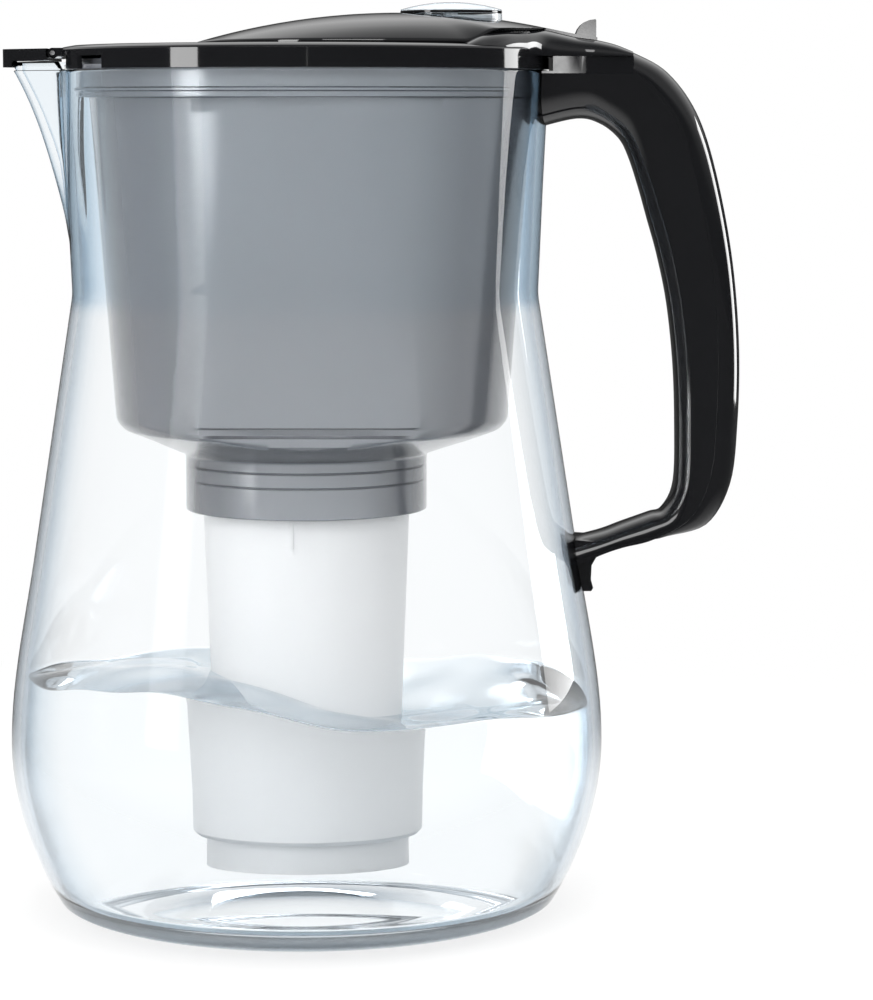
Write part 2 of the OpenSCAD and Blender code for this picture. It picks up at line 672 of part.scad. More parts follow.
// ---- change indicator on the flip lid -----------------------------------------------------------
boss_r = 4;
boss_top = 271.4;
stem_r = 1.8;
housing_wall = 1.6;
lens_low = 274.6;
lens_top = 277;
module at_dial(z) {
    translate([dial_x, 0, z]) children();
}
module indicator_housing() {
    color(clear_plastic) difference() {
        union() {
            at_dial(dial_low) cylinder(r = dial_r, h = dial_rim - dial_low);
            at_dial(dial_low) cylinder(r = dial_r + 1.6, h = 1.4);
        }
        difference() {
            at_dial(dial_low + housing_wall) cylinder(r = dial_r - housing_wall, h = 20);
            at_dial(dial_low) cylinder(r = boss_r, h = boss_top - dial_low);
        }
        at_dial(dial_low - past) cylinder(r = stem_r + run_gap, h = 30, $fn = 48);
    }
}
module indicator_scale() {
    ticks = 12;
    color(white_plastic) difference() {
        at_dial(boss_top) cylinder(r = dial_r - housing_wall - 0.05, h = 0.9);
        at_dial(boss_top - past) cylinder(r = stem_r + 0.4, h = 5, $fn = 48);
        for (k = [0:ticks - 1]) at_dial(boss_top + 0.6) rotate([0, 0, 360 * k / ticks])
            translate([9.5, -0.4, 0]) cube([2.6, 0.8, 2]);
    }
}
module indicator_bezel() {
    color(black_plastic) difference() {
        at_dial(dial_rim + 0.15) cylinder(r = dial_r, h = lens_low - dial_rim - 0.15);
        at_dial(dial_rim - past) cylinder(r = dial_r - 1.3, h = 5);
    }
}
module indicator_lens() {
    lens_t = 1.2;
    rise = lens_top - lens_low - 0.8;
    lens_r = (dial_r * dial_r + rise * rise) / (2 * rise);
    color(clear_plastic) {
        intersection() {
            at_dial(lens_low) cylinder(r = dial_r, h = 5);
            difference() {
                at_dial(lens_top - lens_r) sphere(r = lens_r, $fn = 200);
                intersection() {
                    at_dial(lens_top - lens_r - lens_t) sphere(r = lens_r, $fn = 200);
                    at_dial(lens_low - past) cylinder(r = dial_r - lens_t, h = 5);
                }
            }
        }
        at_dial(dial_low - 1.2) cylinder(r = stem_r, h = lens_top - 0.8 - dial_low + 1.2, $fn = 48);
    }
}
module indicator_clip() {
    color("silver") at_dial(dial_low - 0.95) difference() {
        cylinder(r = 3.4, h = 0.8, $fn = 48);
        translate([0, 0, -past]) cylinder(r = stem_r, h = 3, $fn = 48);
    }
}

// ---- spout flap ---------------------------------------------------------------------------------
flap_top = 262.3;
flap_low = 258.8;
flap_lip_low = rim_z + 0.9;
flap_lip = 3.4;
module flap_plan(inset) {
    tip = spout_tip_r + 1.5 - inset;
    root = flap_x - 1.15;
    intersection() {
        hull() {
            translate([-flap_reach + tip + inset, 0]) circle(r = tip, $fn = 48);
            translate([root, 0]) square([0.1, 2 * (flap_half - inset)], center = true);
        }
        translate([-2 * flap_reach, -flap_half]) square([2 * flap_reach + root, 2 * flap_half]);
    }
}
module spout_flap() {
    color(black_plastic) difference() {
        union() {
            difference() {
                translate([0, 0, flap_lip_low]) linear_extrude(flap_top - flap_lip_low) flap_plan(0);
                translate([0, 0, flap_lip_low - past]) linear_extrude(flap_low - flap_lip_low + past)
                    flap_plan(1.6);
                translate([-flap_reach + flap_lip, -2 * flap_half, flap_lip_low - past])
                    cube([flap_reach, 4 * flap_half, flap_low - flap_lip_low + past]);
                along_y(flap_x, flap_z, 40) cylinder(r = barrel_r + swing_gap, h = 80, $fn = 32);
            }
            along_y(flap_x, flap_z, ear_in - 0.3) cylinder(r = barrel_r, h = 2 * (ear_in - 0.3), $fn = 32);
            translate([flap_x - 3, -ear_in + 0.3, flap_z - 1.2]) cube([3, 2 * (ear_in - 0.3), 2.4]);
        }
        along_y(flap_x, flap_z, 40) cylinder(r = flap_pin_r + run_gap, h = 80, $fn = 32);
    }
}

jug_body();
handle_frame();
handle_back_cover();
handle_screw();
funnel();
cartridge_cup();
cartridge_cap();
cartridge_mesh();
cartridge_seal();
cartridge_media();
cartridge_felts();
cartridge_base();
lid_frame();
rear_cap();
hinge_pin();
flap_pin();
flip_dome();
flip_liner();
thumb_lever();
indicator_housing();
indicator_scale();
indicator_bezel();
indicator_lens();
indicator_clip();
spout_flap();
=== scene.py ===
# Water filter pitcher: clear jug with water, drop-in funnel and cartridge, black cover with a flip lid.
import math

import bmesh
import bpy
from mathutils import Matrix, Vector


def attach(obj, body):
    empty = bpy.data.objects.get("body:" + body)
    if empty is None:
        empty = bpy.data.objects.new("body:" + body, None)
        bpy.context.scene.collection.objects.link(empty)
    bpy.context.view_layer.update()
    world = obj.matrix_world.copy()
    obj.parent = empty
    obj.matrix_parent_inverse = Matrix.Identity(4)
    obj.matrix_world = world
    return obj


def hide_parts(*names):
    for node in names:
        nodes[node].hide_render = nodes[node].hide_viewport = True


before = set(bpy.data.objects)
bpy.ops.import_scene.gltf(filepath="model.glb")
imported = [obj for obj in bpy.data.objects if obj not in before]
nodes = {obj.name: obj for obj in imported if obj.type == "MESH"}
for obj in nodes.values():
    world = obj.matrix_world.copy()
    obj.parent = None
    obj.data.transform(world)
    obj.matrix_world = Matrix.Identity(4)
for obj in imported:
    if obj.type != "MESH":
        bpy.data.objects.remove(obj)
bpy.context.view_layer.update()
mm = 0.001
print("frame loaded")

# ---- camera and light
cameraSet = {"lens": 127.1, "at": (0.0396, -1.0695, 0.2457), "tilt": 83.615}
camera = bpy.data.objects.new("camera", bpy.data.cameras.new("camera"))
camera.data.lens = cameraSet["lens"]
camera.data.sensor_width = 36
camera.location = cameraSet["at"]
camera.rotation_euler = (math.radians(cameraSet["tilt"]), 0, 0)
bpy.context.scene.collection.objects.link(camera)
bpy.context.scene.camera = camera
bpy.context.scene.view_settings.view_transform = "Standard"


# ---- small helpers for shader trees
class Wire:
    # a socket on which +, * and a number minus it add Math nodes
    def __init__(self, tree, socket):
        self.tree, self.socket = tree, socket

    def join(self, operation, first, second):
        step = self.tree.nodes.new("ShaderNodeMath")
        step.operation = operation
        for slot, value in zip(step.inputs, (first, second)):
            if isinstance(value, Wire):
                self.tree.links.new(value.socket, slot)
            else:
                slot.default_value = value
        return Wire(self.tree, step.outputs[0])

    def __add__(self, other):
        return self.join("ADD", self, other)

    def __rsub__(self, other):
        return self.join("SUBTRACT", other, self)

    def __mul__(self, other):
        return self.join("MULTIPLY", self, other)

    def over(self, other):
        # the larger of two
        return self.join("MAXIMUM", self, other)


class Shades:
    # one node tree, and the one way in which its nodes are made
    def __init__(self, tree):
        self.tree = tree
        tree.nodes.clear()

    def node(self, kind, settings=None, sockets=None, out=0):
        made = self.tree.nodes.new("ShaderNode" + kind)
        for key, value in (settings or {}).items():
            if key == "stops":
                ramp = made.color_ramp
                while len(ramp.elements) < len(value):
                    ramp.elements.new(0.5)
                for element, (at, colour) in zip(ramp.elements, value):
                    element.position = at
                    element.color = colour if len(colour) == 4 else (*colour, 1)
            else:
                setattr(made, key, value)
        for key, value in (sockets or {}).items():
            if isinstance(value, Wire):
                self.tree.links.new(value.socket, made.inputs[key])
            else:
                made.inputs[key].default_value = value
        return Wire(self.tree, made.outputs[out]) if made.outputs else None

    def blend(self, share, first, second):
        # colours mixed by a share
        made = self.tree.nodes.new("ShaderNodeMix")
        made.data_type = "RGBA"
        for slot, value in ((0, share), (6, first), (7, second)):
            if isinstance(value, Wire):
                self.tree.links.new(value.socket, made.inputs[slot])
            else:
                made.inputs[slot].default_value = value if slot == 0 or len(value) == 4 else (*value, 1)
        return Wire(self.tree, made.outputs[2])

    def spot(self):
        # place on the piece, in metres
        return self.node("TexCoord", out=3)

    def height(self):
        return self.node("SeparateXYZ", {}, {"Vector": self.spot()}, out=2)

    def fade(self, value, span, ends, kind="SMOOTHSTEP"):
        # goes from one end to the other while the value crosses the span
        return self.node("MapRange", {"interpolation_type": kind}, {
            "Value": value, "From Min": span[0], "From Max": span[1], "To Min": ends[0], "To Max": ends[1]})

    def mottle(self, scale, detail=3.0, stretch=(1, 1, 1), rough=0.5):
        where = self.node("Mapping", {}, {"Vector": self.spot(), "Scale": stretch})
        return self.node("TexNoise", {}, {
            "Vector": where, "Scale": scale, "Detail": detail, "Roughness": rough})

    def relief(self, height, strength, depth):
        return self.node("Bump", {}, {"Height": height, "Strength": strength, "Distance": depth})


def newFinish(name):
    material = bpy.data.materials.new(name)
    material.use_nodes = True
    return material, Shades(material.node_tree)


def finishWith(tree, surface):
    tree.node("OutputMaterial", {}, {"Surface": surface})


# ---- finishes
def makeGlossBlack(name, base=(0.005, 0.0052, 0.0058), sheen=0.55, rough=0.055):
    # injection-moulded black, polished, with faint smears and a very soft unevenness
    material, tree = newFinish(name)
    smear = tree.mottle(38, 4, (1, 1, 2.4))
    dust = tree.mottle(900, 2)
    colour = tree.blend(smear * 0.6, base, tuple(1.5 * c for c in base))
    normal = tree.relief(tree.mottle(26, 2), 0.005, 0.004)
    surface = tree.node("BsdfPrincipled", {}, {
        "Base Color": colour, "Roughness": smear * 0.05 + dust * 0.02 + (rough - 0.035), "Normal": normal,
        "IOR": 1.5, "Specular IOR Level": sheen})
    finishWith(tree, surface)
    return material


# heights in metres between which the jug's look changes
clearBands = {"neck": (0.183, 0.189), "heel": (0.006, 0.016), "scuff": (0.0015, 0.0035)}


def makeClear(name, stops, ior, glint=1.0, wave=0.0, heel=None, body=1.0, neck=None):
    # clear plastic or water: nearly colourless face on, blue-grey where it is seen edge on; the blue is
    # partly the plastic's own tint along the longer path, and the darkest edge stops are painted shade
    # standing in for reflected dark surroundings
    material, tree = newFinish(name)
    facing = tree.node("LayerWeight", {}, {"Blend": 0.5}, out=1)
    # painted shade: the ramp by facing darkens the edges seen edge on
    colour = tree.node("ValToRGB", {"stops": stops}, {"Fac": facing})
    if neck:
        # painted shade: above the crease the neck and the spout get a bluer ramp with much darker edges
        high = tree.fade(tree.height(), clearBands["neck"], (0.0, 1.0))
        colour = tree.blend(high, colour, tree.node("ValToRGB", {"stops": neck}, {"Fac": facing}))
    sockets = {"Base Color": colour, "Roughness": 0.0, "IOR": ior, "Transmission Weight": body,
               "Specular Tint": (glint, glint, glint, 1)}
    if heel:
        # the thick heel gathers more of the plastic's own tint
        cloud = tree.mottle(34, 3, (1, 1.6, 1))
        low = tree.fade(tree.height() + cloud * 0.008, clearBands["heel"], (1.0, 0.0))
        sockets["Base Color"] = tree.blend(low, colour, tree.blend(cloud, colour, heel))
        # the standing ring is scuffed, which lets light out below
        sockets["Roughness"] = tree.fade(tree.height(), clearBands["scuff"], (0.5, 0.0), "LINEAR")
    if wave:
        sockets["Normal"] = tree.relief(tree.mottle(9, 2), wave, 0.004)
    finishWith(tree, tree.node("BsdfPrincipled", {}, sockets))
    return material


def makeSmoke(name):
    # grey translucent plastic with a fine frosted inside; its colour is painted lighter face on and darker
    # towards the edges, as shade
    material, tree = newFinish(name)
    facing = tree.node("LayerWeight", {}, {"Blend": 0.5}, out=1)
    grain = tree.mottle(260, 3)
    # painted shade: lighter face on, dark where the surface is seen edge on
    stops = [(0.0, (0.48, 0.5, 0.535)), (0.12, (0.47, 0.49, 0.525)), (0.3, (0.29, 0.305, 0.335)),
             (0.55, (0.2, 0.212, 0.238)), (0.8, (0.14, 0.15, 0.17)), (1.0, (0.05, 0.055, 0.062))]
    colour = tree.node("ValToRGB", {"stops": stops}, {"Fac": facing})
    surface = tree.node("BsdfPrincipled", {}, {
        "Base Color": tree.blend(grain * 0.08, colour, (0.4, 0.42, 0.45)), "Roughness": grain * 0.06 + 0.2,
        "IOR": 1.5, "Transmission Weight": 0.4, "Specular IOR Level": 0.5,
        "Coat Weight": grain * 0.1 + 0.75, "Coat Roughness": 0.16,
        "Normal": tree.relief(grain, 0.02, 0.0005)})
    finishWith(tree, surface)
    return material


def makeWhite(name, base=(0.9, 0.905, 0.912), rough=0.34):
    # white polypropylene with a satin face
    material, tree = newFinish(name)
    cloud = tree.mottle(60, 3)
    grain = tree.mottle(1400, 2)
    surface = tree.node("BsdfPrincipled", {}, {
        "Base Color": tree.blend(cloud * 0.4, base, tuple(0.955 * c for c in base)),
        "Roughness": cloud * 0.12 + (rough - 0.06), "IOR": 1.48, "Specular IOR Level": 0.4,
        "Normal": tree.relief(grain, 0.05, 0.0002)})
    finishWith(tree, surface)
    return material


def makeMesh(name):
    # woven nylon: crossing threads with darker holes between them
    material, tree = newFinish(name)
    across, along = (tree.node("TexWave", {"wave_type": "BANDS", "bands_direction": way},
                               {"Vector": tree.spot(), "Scale": 620.0}) for way in "ZX")
    cross = across.over(along)
    surface = tree.node("BsdfPrincipled", {}, {
        "Base Color": tree.blend(cross, (0.2, 0.205, 0.21), (0.5, 0.505, 0.51)),
        "Roughness": cross * 0.2 + 0.5,
        "Normal": tree.relief(cross, 0.4, 0.0003)})
    finishWith(tree, surface)
    return material


def makeSoft(name, base, scale, depth, rough=0.9):
    # felt, granules or rubber: a matt body with its own grain
    material, tree = newFinish(name)
    grain = tree.mottle(scale, 5, rough=0.65)
    surface = tree.node("BsdfPrincipled", {}, {
        "Base Color": tree.blend(grain, tuple(0.6 * c for c in base), tuple(min(1, 1.3 * c) for c in base)),
        "Roughness": grain * 0.1 + (rough - 0.05), "Normal": tree.relief(grain, 0.5, depth)})
    finishWith(tree, surface)
    return material


def makeSteel(name, stretch):
    # turned stainless pin or clip with fine marks round its axis
    material, tree = newFinish(name)
    marks = tree.mottle(500, 4, stretch)
    surface = tree.node("BsdfPrincipled", {}, {
        "Base Color": tree.blend(marks, (0.42, 0.42, 0.43), (0.66, 0.66, 0.67)), "Metallic": 1.0,
        "Roughness": marks * 0.2 + 0.2, "Normal": tree.relief(marks, 0.1, 0.0001)})
    finishWith(tree, surface)
    return material


# the darker stops towards edge on are painted shade for the edge lines of the clear pieces and the water,
# darkest in the neck stops
clearJug = makeClear(
    "clearJug", [(0, (0.98, 0.99, 0.996)), (0.5, (0.975, 0.987, 0.995)), (0.63, (0.88, 0.92, 0.95)),
                 (0.72, (0.68, 0.76, 0.83)), (0.82, (0.46, 0.55, 0.64)), (0.9, (0.55, 0.63, 0.71)),
                 (1, (0.82, 0.87, 0.91))],
    ior=1.5, glint=0.06, wave=0.006, heel=(0.43, 0.61, 0.76),
    neck=[(0, (0.96, 0.98, 0.992)), (0.4, (0.9, 0.945, 0.975)), (0.6, (0.66, 0.78, 0.88)),
          (0.75, (0.2, 0.32, 0.44)), (0.88, (0.12, 0.2, 0.29)), (1, (0.35, 0.47, 0.58))])
# weaker than real water, whose bend of 1.33 would spread the cartridge too far
clearWater = makeClear(
    "clearWater", [(0, (0.972, 0.987, 0.996)), (0.5, (0.965, 0.984, 0.995)), (0.72, (0.78, 0.86, 0.92)),
                   (0.86, (0.3, 0.41, 0.5)), (1, (0.2, 0.3, 0.39))],
    ior=1.25, glint=0.6, wave=0.03)
clearLens = makeClear(
    "clearLens", [(0, (0.86, 0.9, 0.93)), (0.6, (0.82, 0.87, 0.91)), (1, (0.62, 0.7, 0.76))],
    ior=1.3, glint=0.5, body=0.35)
clearSkirt = makeClear(
    "clearSkirt", [(0, (0.95, 0.975, 0.99)), (0.6, (0.9, 0.94, 0.97)), (1, (0.4, 0.5, 0.58))],
    ior=1.45, glint=0.5)
smokePlastic = makeSmoke("smokePlastic")
glossBlack = makeGlossBlack("glossBlack")
whitePlastic = makeWhite("whitePlastic")
dialWhite = makeWhite("dialWhite", (0.78, 0.82, 0.86), 0.3)
meshFabric = makeMesh("meshFabric")
feltPad = makeSoft("feltPad", (0.72, 0.72, 0.7), 700, 0.0006)
filterMedia = makeSoft("filterMedia", (0.24, 0.22, 0.19), 900, 0.0012, 0.8)
sealRubber = makeSoft("sealRubber", (0.26, 0.27, 0.28), 300, 0.0002, 0.55)
pinSteel = makeSteel("pinSteel", (1, 0.06, 1))
clipSteel = makeSteel("clipSteel", (1, 1, 0.1))
print("finishes made")


# ---- small helpers for shapes
def addPiece(name, bm, finish, body, slotName, *replaced):
    mesh = bpy.data.meshes.new(name)
    bm.to_mesh(mesh)
    bm.free()
    piece = bpy.data.objects.new(name, mesh)
    bpy.context.scene.collection.objects.link(piece)
    mesh.materials.append(finish)
    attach(piece, body)
    if replaced:
        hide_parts(*replaced)
    return piece


def faceOut(bm):
    # the volume tells where a rim that turns inward has misled the first try
    bmesh.ops.recalc_face_normals(bm, faces=bm.faces)
    if bm.calc_volume(signed=True) < 0:
        bmesh.ops.reverse_faces(bm, faces=bm.faces)


joinGap = 1e-6


def softenEdges(piece, angle=32, flat=0.4):
    # doubles merged, flat faces made whole, and only true edges left sharp
    bm = bmesh.new()
    bm.from_mesh(piece.data)
    bmesh.ops.remove_doubles(bm, verts=bm.verts, dist=joinGap)
    if flat:
        bmesh.ops.dissolve_limit(bm, angle_limit=math.radians(flat), verts=bm.verts, edges=bm.edges)
    for face in bm.faces:
        face.smooth = True
    for edge in bm.edges:
        edge.smooth = not edge.is_manifold or edge.calc_face_angle(0) < math.radians(angle)
    bm.to_mesh(piece.data)
    bm.free()


def roundEdges(piece, width, segments=2, angle=32):
    bevel = piece.modifiers.new("bevel", "BEVEL")
    bevel.width = width * mm
    bevel.segments = segments
    bevel.limit_method = "ANGLE"
    bevel.angle_limit = math.radians(angle)
    bevel.harden_normals = True
    bevel.miter_outer = "MITER_ARC"


def cutWith(piece, bm, operation="DIFFERENCE"):
    mesh = bpy.data.meshes.new("cutter")
    bm.to_mesh(mesh)
    bm.free()
    cutter = bpy.data.objects.new("cutter", mesh)
    bpy.context.scene.collection.objects.link(cutter)
    cut = piece.modifiers.new("cut", "BOOLEAN")
    cut.operation = operation
    cut.solver = "EXACT"
    cut.object = cutter
    bpy.context.view_layer.update()
    result = bpy.data.meshes.new_from_object(piece.evaluated_get(bpy.context.evaluated_depsgraph_get()))
    piece.modifiers.clear()
    old = piece.data
    piece.data = result
    bpy.data.meshes.remove(old)
    bpy.data.objects.remove(cutter)
    bpy.data.meshes.remove(mesh)


def dressNode(node, finish, body, slotName, width=0.3):
    # a merged copy of a CAD node with softened edges and its finish
    bm = bmesh.new()
    bm.from_mesh(nodes[node].data)
    piece = addPiece(node + "_piece", bm, finish, body, slotName, node)
    softenEdges(piece)
    if width:
        roundEdges(piece, width)
    return piece


def refinish(finishes):
    # CAD nodes that keep their own mesh get their finish
    for node, finish in finishes.items():
        nodes[node].data.materials.clear()
        nodes[node].data.materials.append(finish)


def spinProfile(points, steps, closed=True):
    # a profile of (radius, height) in millimetres turned round the Z axis
    bm = bmesh.new()
    verts = [bm.verts.new((r * mm, 0, z * mm)) for r, z in points]
    edges = [bm.edges.new(pair) for pair in zip(verts, verts[1:])]
    if closed:
        edges.append(bm.edges.new((verts[-1], verts[0])))
    bmesh.ops.spin(bm, geom=verts + edges, cent=(0, 0, 0), axis=(0, 0, 1), dvec=(0, 0, 0),
                   angle=math.tau, steps=steps, use_merge=True, use_normal_flip=False, use_duplicate=False)
    bmesh.ops.remove_doubles(bm, verts=bm.verts, dist=joinGap)
    faceOut(bm)
    return bm


def boxCutter(low, high):
    bm = bmesh.new()
    size = [(b - a) * mm for a, b in zip(low, high)]
    middle = [(a + b) / 2 * mm for a, b in zip(low, high)]
    bmesh.ops.create_cube(bm, size=1, matrix=Matrix.Translation(middle) @ Matrix.Diagonal((*size, 1)))
    return bm


def barCutter(radius, length, matrix, segments=64):
    bm = bmesh.new()
    bmesh.ops.create_cone(bm, cap_ends=True, segments=segments, radius1=radius * mm, radius2=radius * mm,
                          depth=length * mm, matrix=matrix)
    return bm


def alongCurve(points, steps):
    # a smooth curve through points of any size, with a few steps in each span
    last = len(points) - 1
    pick = [tuple(p) if hasattr(p, "__len__") else (p,) for p in points]
    curve = []
    for i in range(last):
        a, b, c, d = (Vector(pick[k] + (0,) * (3 - len(pick[k])))
                      for k in (max(i - 1, 0), i, i + 1, min(i + 2, last)))
        for k in range(steps):
            t = k / steps
            curve.append(0.5 * (2 * b + (c - a) * t + (2 * a - 5 * b + 4 * c - d) * t ** 2
                                + (3 * b - a - 3 * c + d) * t ** 3))
    curve.append(Vector(pick[last] + (0,) * (3 - len(pick[last]))))
    return curve


def loftRings(rings):
    # closed rings bridged one to the next, with both ends closed
    bm = bmesh.new()
    loops = []
    for ring in rings:
        verts = [bm.verts.new(Vector(p) * mm) for p in ring]
        loops.append([bm.edges.new((verts[k], verts[(k + 1) % len(verts)])) for k in range(len(verts))])
    for first, second in zip(loops, loops[1:]):
        bmesh.ops.bridge_loops(bm, edges=first + second)
    for loop in (loops[0], loops[-1]):
        bmesh.ops.contextual_create(bm, geom=loop)
    faceOut(bm)
    return bm


def ringedLoft(sections):
    # closed sections bridged one to the next, and the last to the first
    bm = bmesh.new()
    loops = []
    for section in sections:
        verts = [bm.verts.new(Vector(p) * mm) for p in section]
        loops.append([bm.edges.new((verts[k], verts[(k + 1) % len(verts)])) for k in range(len(verts))])
    for first, second in zip(loops, loops[1:] + loops[:1]):
        bmesh.ops.bridge_loops(bm, edges=first + second)
    faceOut(bm)
    return bm


def power(value, exponent):
    return math.copysign(abs(value) ** (2 / exponent), value)


def ease(value, low, high):
    t = min(1, max(0, (value - low) / (high - low)))
    return t * t * (3 - 2 * t)


def softMax(a, b, width):
    h = max(0, 1 - abs(a - b) / width)
    return max(a, b) + h * h * width / 4


print("helpers ready")


# ---- jug
jug = {
    "footR": 48.5, "heelR": 76.3, "heelZ": 5.2, "heelBend": 4.2, "bellyR": 90.2, "bellyZ": 52.5,
    "coneR": 82.6, "coneZ": 110, "neckR": 70.3, "neckZ": 189, "flareZ": 222, "rimR": 73.4, "rimZ": 256,
    "wall": 2.6, "base": 4.5, "steps": 256, "footRecess": 0.8, "footRing": 44,
    "crease": 1.6, "creaseFrom": 180}
spout = {"z": 204, "reach": 87.6, "half": 30, "tip": 7, "back": 48, "innerZ": 210, "blend": 2.2,
         "top": 258.5, "lipIn": 0.8, "widest": 1.2, "ridge": (0.76, 0.24), "blunt": 10, "low": 4,
         "draw": (0.42, 0.58)}
coneSlope = (jug["neckR"] - jug["coneR"]) / (jug["neckZ"] - jug["coneZ"])
flareR = jug["neckR"] + (jug["rimR"] - jug["neckR"]) * 0.45


def flankRadius(z):
    share = (jug["bellyZ"] - z) / (jug["bellyZ"] - jug["heelZ"])
    return jug["bellyR"] - (jug["bellyR"] - jug["heelR"]) * share * share


def wallRadius(z, inset=0.0):
    # radius of the jug's wall at a height, above its heel
    if z < jug["bellyZ"]:
        return flankRadius(z) - inset
    if z < jug["coneZ"]:
        span = jug["coneZ"] - jug["bellyZ"]
        t = (z - jug["bellyZ"]) / span
        return ((2 * t ** 3 - 3 * t * t + 1) * jug["bellyR"] + (3 * t * t - 2 * t ** 3) * jug["coneR"]
                + (t ** 3 - t * t) * coneSlope * span - inset)
    if z < jug["neckZ"]:
        return jug["neckR"] + coneSlope * (z - jug["neckZ"]) - inset
    if z < jug["flareZ"]:
        span = jug["flareZ"] - jug["neckZ"]
        return jug["neckR"] + (flareR - jug["neckR"]) * (z - jug["neckZ"]) / span - inset
    return flareR + (jug["rimR"] - flareR) * (z - jug["flareZ"]) / (jug["rimZ"] - jug["flareZ"]) - inset


def creased(z, inset=0.0):
    # the same wall with the crease under the collar drawn a little round
    return sum(wallRadius(z + step * jug["crease"], inset) for step in (-1, -0.5, 0, 0.5, 1)) / 5


def bellyLine(inset, low, steps=16):
    # a round heel from the flat foot, then a parabola up to the widest point
    top = jug["heelZ"] + low
    slope = 2 * (jug["bellyR"] - jug["heelR"]) * (jug["bellyZ"] - top) / (jug["bellyZ"] - jug["heelZ"]) ** 2
    start, end = Vector((jug["footR"] - inset, low)), Vector((flankRadius(top) - inset, top))
    bend = end - jug["heelBend"] * Vector((slope, 1)).normalized()
    line = []
    for i in range(steps + 1):
        t = i / steps
        line.append(tuple((1 - t) ** 2 * start + 2 * t * (1 - t) * bend + t * t * end))
    for i in range(1, steps + 5):
        z = top + (jug["bellyZ"] - top) * i / (steps + 4)
        line.append((flankRadius(z) - inset, z))
    return line


def wallLine(inset, low, top):
    line = bellyLine(inset, low)
    z = jug["bellyZ"] + 4
    while z < top - 0.6:
        line.append((creased(z, inset) if z > jug["creaseFrom"] else wallRadius(z, inset), z))
        z += 4 if z < 182 else (1.5 if z < 194 else 3)
    return line


def spoutReachAt(turn, z, inset):
    # distance from the jug's axis to the spout's outline, in the direction that is turn away from -X
    s = (z - spout["z"]) / (jug["rimZ"] - spout["z"])
    if s <= 0 or abs(turn) > spout["widest"]:
        return 0
    root = wallRadius(spout["z"]) - 0.6
    ridge = root + (spout["reach"] - root) * (spout["ridge"][0] * s + spout["ridge"][1] * s ** 4) - inset
    tip = spout["tip"] + spout["blunt"] * (1 - min(s, 1)) ** 2 - inset / 2
    half = spout["half"] * max(s, 0.02) ** 0.6 + spout["low"] - inset
    lean = math.atan2(half - tip * 0.8, ridge - 60)
    centre = ridge - tip
    side, ahead = abs(math.sin(turn)), math.cos(turn)
    inside = tip * tip - (centre * side) ** 2
    if inside > 0:
        far = centre * ahead + math.sqrt(inside)
        if abs(math.atan2(far * side, far * ahead - centre)) <= math.pi / 2 - lean:
            return far
    bend = math.pi / 2 - lean
    ax, ay = spout["back"], half
    bx, by = centre + tip * math.cos(bend), tip * math.sin(bend)
    # ray (far*ahead, far*side) meets the straight side from a to b
    cross = ahead * (by - ay) - side * (bx - ax)
    far = (ax * (by - ay) - ay * (bx - ax)) / cross if abs(cross) > 1e-6 else 0
    return far if ax - 2 <= far * ahead <= bx + 2 else 0


def shapeSpout(bm):
    # the steps are drawn together towards the spout, and its wall is pushed out
    for vert in bm.verts:
        x, y, z = vert.co / mm
        radius = math.hypot(x, y)
        if radius < 1e-6:
            continue
        turn = math.atan2(y, -x)
        turn = turn * (spout["draw"][0] + spout["draw"][1] * abs(turn) / math.pi)
        if z > spout["z"] - 6:
            depth = wallRadius(min(z, jug["rimZ"])) - radius
            outer = depth < jug["wall"] / 2
            inset = depth if z > jug["rimZ"] - 0.1 else (0 if outer else jug["wall"])
            if outer or z > spout["innerZ"] - 2:
                reach = spoutReachAt(turn, z, inset)
                if z > jug["rimZ"]:
                    # the lip stands up only where the spout is clear of the rim
                    z = jug["rimZ"] + (z - jug["rimZ"]) * ease(reach, jug["rimR"] - 0.8, jug["rimR"] + 0.6)
                radius = softMax(radius, reach, spout["blend"])
        vert.co = Vector((-radius * math.cos(turn), radius * math.sin(turn), z)) * mm


lipR, rimIn = jug["rimR"] - spout["lipIn"], jug["rimR"] - jug["wall"]
rim = [(jug["rimR"] - 0.03, jug["rimZ"] - 0.5), (jug["rimR"] - 0.15, jug["rimZ"] - 0.2),
       (jug["rimR"] - 0.4, jug["rimZ"] - 0.02), (lipR, jug["rimZ"]), (lipR - 0.06, spout["top"] - 0.35),
       (lipR - 0.3, spout["top"]), (rimIn + 0.4, spout["top"]), (rimIn + 0.08, spout["top"] - 0.4)]
foot = [(r, jug["footRecess"]) for r in (0, 16, 32, jug["footRing"])]
foot += [(jug["footRing"] + 1.2, 0.3), (jug["footRing"] + 2.4, 0)]
floor = [(r, jug["base"]) for r in (38, 30, 20, 10, 0)]
inner = wallLine(jug["wall"], jug["base"], jug["rimZ"])[::-1]
jugProfile = foot + wallLine(0, 0, jug["rimZ"]) + rim + inner + floor
bm = spinProfile(jugProfile, jug["steps"], closed=False)
shapeSpout(bm)
faceOut(bm)
jugPiece = addPiece("jug_shell", bm, clearJug, "jug", "clear_plastic", "jug_body")
softenEdges(jugPiece, 50, flat=0)
print("jug made")


# ---- water in the jug
water = {"tilt": (68.87, -0.0266, 0.0036), "swells": ((3.91, -0.0525, 0.0002, -0.462),
                                                       (5.29, -0.0176, -0.0251, -0.405)),
         "ripple": 0.35, "low": 56, "climb": 0.5, "dip": 1.2, "gap": 1.3, "rings": 40, "steps": 224,
         "flatZ": 90, "outer": 90, "inner": 86, "edge": 87}
# each outer ring as first made, with its distance from the wall and its rise
wetting = ((89.5, 0, 0), (88.5, 0, water["climb"]), (87.5, 0.35, 0.25), (86.5, 1.1, 0.05))


